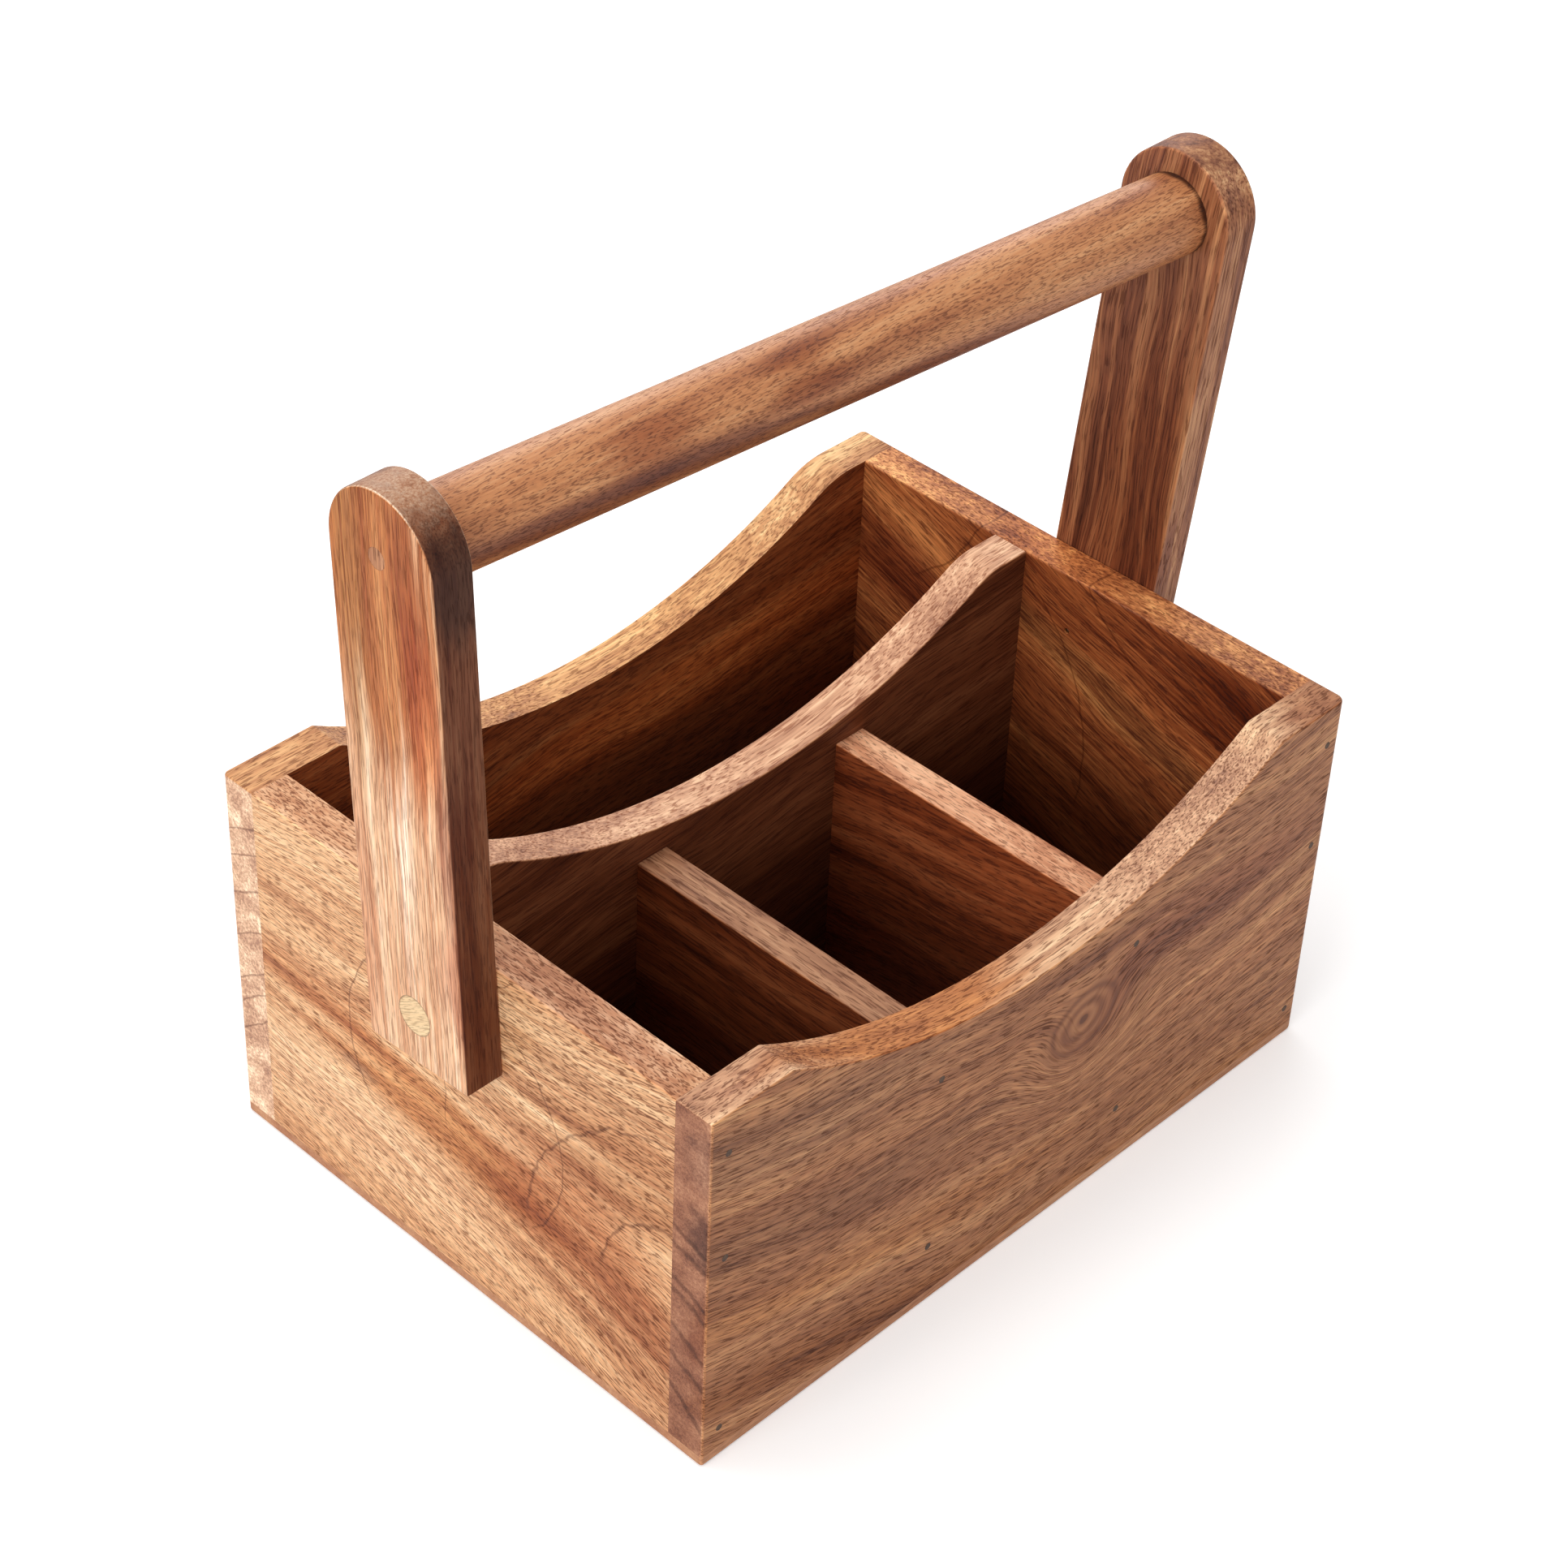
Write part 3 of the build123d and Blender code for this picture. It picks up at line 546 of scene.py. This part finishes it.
        wave=1.0, band_swing=0.9, streak_swing=0.5, streak_width=0.8, pore_length=2.4,
        pore_width=0.34, pore_level=0.56, pore_depth=0.8, end_tint=PLAIN, arris_highlight_and_wear=PLAIN,
        specular=0.45, roughness=0.4, glint=0.3,
        spots=(
            ("all", (-66.0, 254.0, -8.0), (22.0, 11.0, 14.0), (0.66, 0.5, 0.44)),
            ("all", (-14.0, 254.0, -10.0), (17.0, 9.0, 9.0), (0.66, 0.5, 0.42)),
            # painted shade on the lower front of the dowel, in this spot and the next
            ("all", (-70.0, 244.0, -10.0), (70.0, 8.0, 9.0), (0.52, 0.4, 0.35)),
            ("all", (60.0, 240.0, -13.0), (110.0, 9.0, 9.0), (0.6, 0.48, 0.44)),
            # painted sheen: the upper side of the dowel lighter
            ("all", (70.0, 262.0, -4.0), (60.0, 8.0, 12.0), (1.15, 1.2, 1.25)),
            # painted contact shadow where the dowel meets the right post
            ("all", (127.0, 250.0, 0.0), (2.2, 60.0, 60.0), (0.12, 0.08, 0.07)),
        ),
    ),
    "base_panel": Wood(
        "x", 83.0, rgb(160, 104, 72), rgb(178, 122, 88), rgb(190, 136, 100), rgb(206, 156, 118),
        end_tint=PLAIN, pore_depth=0.2,
    ),
    "foot_plug": Wood(
        "y", 91.0, rgb(206, 164, 118), rgb(222, 186, 140), rgb(234, 204, 160), rgb(242, 218, 178),
        slope=-0.65, wave=0.3, pore_length=2.5, pore_width=0.36, pore_depth=0.45,
        band_swing=0.6, streak_swing=0.3, glint=0.2,
        end_tint=PLAIN, arris_highlight_and_wear=PLAIN,
        rings=tuple(
            ("all", tuple(PLUG_CENTRE[i] * (side if i == 0 else 1.0) for i in range(3)),
             PLUG_RADIUS, -20.0, 0.5, 0.0)
            for side in (1.0, -1.0)
        ),
    ),
    "grip_peg": Wood(
        "z", 97.0, rgb(136, 88, 60), rgb(158, 104, 72), rgb(176, 122, 86), rgb(192, 138, 102),
        end_tint=PLAIN, arris_highlight_and_wear=PLAIN, pore_width=0.4,
    ),
}


def plain_material(name, light, dark, metallic, roughness, grain):
    """Filler or steel: a fine mottle between two close colours."""
    material = bpy.data.materials.new(name)
    g = Graph(material)
    mottle = g.noise(g.scaled(g.place(), MM * grain), 3.0, 0.6)
    colour = g.ramp(mottle, tuple(zip(MOTTLE_RANGE, (dark, light))))
    bump = g.relief(mottle, PLAIN_RELIEF)
    g.finish(g.add("ShaderNodeBsdfPrincipled", {
        "Base Color": colour, "Metallic": metallic, "Normal": bump,
        "Roughness": g.math("MULTIPLY_ADD", mottle, 0.2, roughness),
    }))
    return material


def paint():
    """Gives every CAD node its material: a wood, filler or steel."""
    filler = plain_material("filler", rgb(104, 78, 60), rgb(66, 46, 36), 0.0, 0.6, 1.5)
    steel = plain_material("steel", rgb(170, 168, 164), rgb(140, 138, 136), 1.0, 0.3, 2.0)
    woods = {name: wood_material(name, wood) for name, wood in WOODS.items()}
    for node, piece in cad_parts.items():
        plain = filler if node.endswith("fillers") else steel
        material = next((woods[name] for name in woods if node.endswith(name)), plain)
        piece.data.materials.clear()
        piece.data.materials.append(material)


# --- floor, light and camera ---
def add_floor():
    """Pale floor, lifted to white for the camera, with the caddy's soft shadow."""
    bpy.ops.mesh.primitive_plane_add(size=FLOOR_SIZE, location=(0, 0, -FLOOR_DROP))
    floor = bpy.context.object
    floor.name = "floor"
    material = bpy.data.materials.new("floor")
    g = Graph(material)
    mottle = g.noise(g.scaled(g.place(), FLOOR_PATCHES), 2.0)
    low, high = FLOOR_SHADE - FLOOR_MOTTLE, FLOOR_SHADE + FLOOR_MOTTLE
    shade = g.smooth(mottle, *MOTTLE_RANGE, low, high)
    seen = g.camera_ray()
    g.finish(g.add("ShaderNodeBsdfPrincipled", {
        "Base Color": g.join(shade, shade, shade), "Roughness": FLOOR_ROUGHNESS,
        "Specular IOR Level": 0.0, "Emission Color": WHITE,
        "Emission Strength": g.times(seen, FLOOR_LIFT),
    }))
    floor.data.materials.append(material)


def direction(azimuth, elevation):
    """Unit vector from the caddy to a viewpoint, from the front towards the right."""
    a, e = math.radians(azimuth), math.radians(elevation)
    return Vector((math.sin(a) * math.cos(e), -math.cos(a) * math.cos(e), math.sin(e)))


def add_softbox(name, azimuth, elevation, distance, size, power):
    """Rectangular soft light that faces the caddy."""
    light = bpy.data.lights.new(name, "AREA")
    light.shape = "RECTANGLE"
    light.size, light.size_y = size
    light.energy = power
    lamp = bpy.data.objects.new(name, light)
    bpy.context.collection.objects.link(lamp)
    back = direction(azimuth, elevation)
    lamp.location = CAMERA_TARGET + back * distance
    lamp.rotation_euler = back.to_track_quat("Z", "Y").to_euler()


def add_world():
    """Even white light from all round, with a white backdrop for the camera."""
    world = bpy.data.worlds.new("studio")
    bpy.context.scene.world = world
    g = Graph(world)
    seen = g.camera_ray()
    strength = g.math("MULTIPLY_ADD", seen, 1.0 - WORLD_STRENGTH, WORLD_STRENGTH)
    shader = g.add("ShaderNodeBackground", {"Color": WHITE, "Strength": strength})
    g.add("ShaderNodeOutputWorld", {0: shader.outputs[0]})


def add_camera():
    """Camera at the photograph's viewing angle, a little rolled as the photograph is."""
    data = bpy.data.cameras.new("camera")
    data.sensor_width = SENSOR_WIDTH
    data.lens = CAMERA_LENS
    camera = bpy.data.objects.new("camera", data)
    bpy.context.collection.objects.link(camera)
    back = direction(CAMERA_AZIMUTH, CAMERA_ELEVATION)
    camera.location = CAMERA_TARGET + back * CAMERA_DISTANCE
    roll = Euler((0, 0, math.radians(CAMERA_ROLL))).to_matrix()
    camera.rotation_euler = (back.to_track_quat("Z", "Y").to_matrix() @ roll).to_euler()
    bpy.context.scene.camera = camera


paint()
add_floor()
add_world()
for softbox in SOFTBOXES:
    add_softbox(*softbox)
add_camera()
bpy.context.scene.view_settings.view_transform = "Standard"
